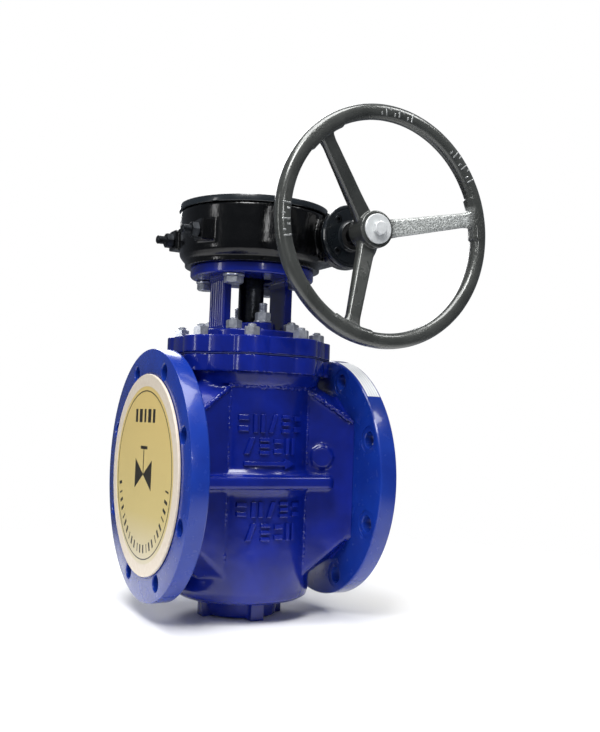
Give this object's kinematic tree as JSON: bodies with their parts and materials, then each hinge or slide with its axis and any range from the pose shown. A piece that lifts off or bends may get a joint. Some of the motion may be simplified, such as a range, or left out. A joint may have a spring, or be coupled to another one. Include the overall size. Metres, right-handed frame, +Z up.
{
  "type": "plug valve",
  "caption": "Flanged eccentric plug valve with a cast blue body, worm gearbox, handwheel and flange covers; the plug turns a quarter turn to open.",
  "frame": {"origin": "centre of the crossed feet's underside, where the stem axis meets the surface that the valve stands on", "axes": "+Z up along the stem, +X along the pipe in the flow direction from the inlet flange to the outlet flange, -Y towards the handwheel"},
  "size_m": [0.407, 0.3805, 0.688],
  "materials": {
    "blue_enamel": "glossy deep blue enamel over rough cast iron",
    "black_enamel": "glossy black enamel over cast iron",
    "dark_iron": "dark grey gloss paint over rough cast iron",
    "zinc_steel": "zinc plated steel",
    "bronze": "machined bronze",
    "bare_iron": "bare cast iron",
    "dark_steel": "oiled dark steel",
    "bright_steel": "ground steel",
    "black_steel": "blackened steel",
    "gasket_sheet": "compressed fibre sheet",
    "graphite_packing": "braided graphite",
    "seal_rubber": "moulded rubber",
    "gold_board": "gold-printed board"
  },
  "bodies": {
    "valve_body": {"body_casting": "blue_enamel", "seat_ring": "bronze", "lower_bush": "bronze", "thrust_washer": "bronze", "upper_bush": "bronze", "bonnet_gasket": "gasket_sheet", "bonnet": "blue_enamel", "packing": "graphite_packing", "gland": "blue_enamel", "yoke": "blue_enamel", "bonnet_stud_1": "zinc_steel", "bonnet_stud_2": "zinc_steel", "bonnet_stud_3": "zinc_steel", "bonnet_stud_4": "zinc_steel", "bonnet_stud_5": "zinc_steel", "bonnet_stud_6": "zinc_steel", "bonnet_stud_7": "zinc_steel", "bonnet_stud_8": "zinc_steel", "yoke_stud_1": "zinc_steel", "yoke_stud_2": "zinc_steel", "yoke_stud_3": "zinc_steel", "yoke_stud_4": "zinc_steel", "gland_stud_1": "zinc_steel", "gland_stud_2": "zinc_steel", "actuator_bolt_1": "zinc_steel", "actuator_bolt_2": "zinc_steel", "actuator_bolt_3": "zinc_steel", "actuator_bolt_4": "zinc_steel", "gearbox_housing": "black_enamel", "gearbox_cover": "black_enamel", "cover_screw_1": "black_steel", "cover_screw_2": "black_steel", "cover_screw_3": "black_steel", "cover_screw_4": "black_steel", "worm_front_cap": "black_enamel", "worm_rear_cap": "black_enamel", "cap_screw_1": "black_steel", "cap_screw_2": "black_steel", "cap_screw_3": "black_steel", "cap_screw_4": "black_steel", "front_bearing": "bright_steel", "rear_bearing": "bright_steel", "shaft_seal": "seal_rubber", "stop_screw_1": "black_steel", "stop_screw_2": "black_steel", "stop_nut_1": "black_steel", "stop_nut_2": "black_steel"},
    "plug_and_stem": {"plug": "bare_iron", "plug_key": "bright_steel", "stem": "dark_steel", "stem_key": "bright_steel", "worm_wheel": "bronze", "position_indicator": "black_steel"},
    "handwheel_and_worm": {"worm_shaft": "dark_steel", "handwheel": "dark_iron", "handwheel_key": "bright_steel", "hub_washer": "zinc_steel", "hub_bolt": "zinc_steel"},
    "inlet_cover": {"inlet_cover": "gold_board"},
    "outlet_cover": {"outlet_cover": "gold_board"}
  },
  "joints": [
    {"name": "plug_turn", "type": "hinge", "parent": "valve_body", "child": "plug_and_stem", "pos_m": [0, 0, 0.193], "axis": [0, 0, 1], "range_deg": [0, 90]},
    {"name": "handwheel_turn", "type": "hinge", "parent": "valve_body", "child": "handwheel_and_worm", "pos_m": [0.097, 0, 0.528], "axis": [0, -1, 0], "range_deg": [0, 3420]},
    {"name": "inlet_cover_pull", "type": "slide", "parent": "valve_body", "child": "inlet_cover", "axis": [-1, 0, 0], "range_m": [0, 0.1]},
    {"name": "outlet_cover_pull", "type": "slide", "parent": "valve_body", "child": "outlet_cover", "axis": [1, 0, 0], "range_m": [0, 0.1]}
  ],
  "couplings": [
    {"joint": "handwheel_turn", "follows": "plug_turn", "ratio": 38}
  ]
}
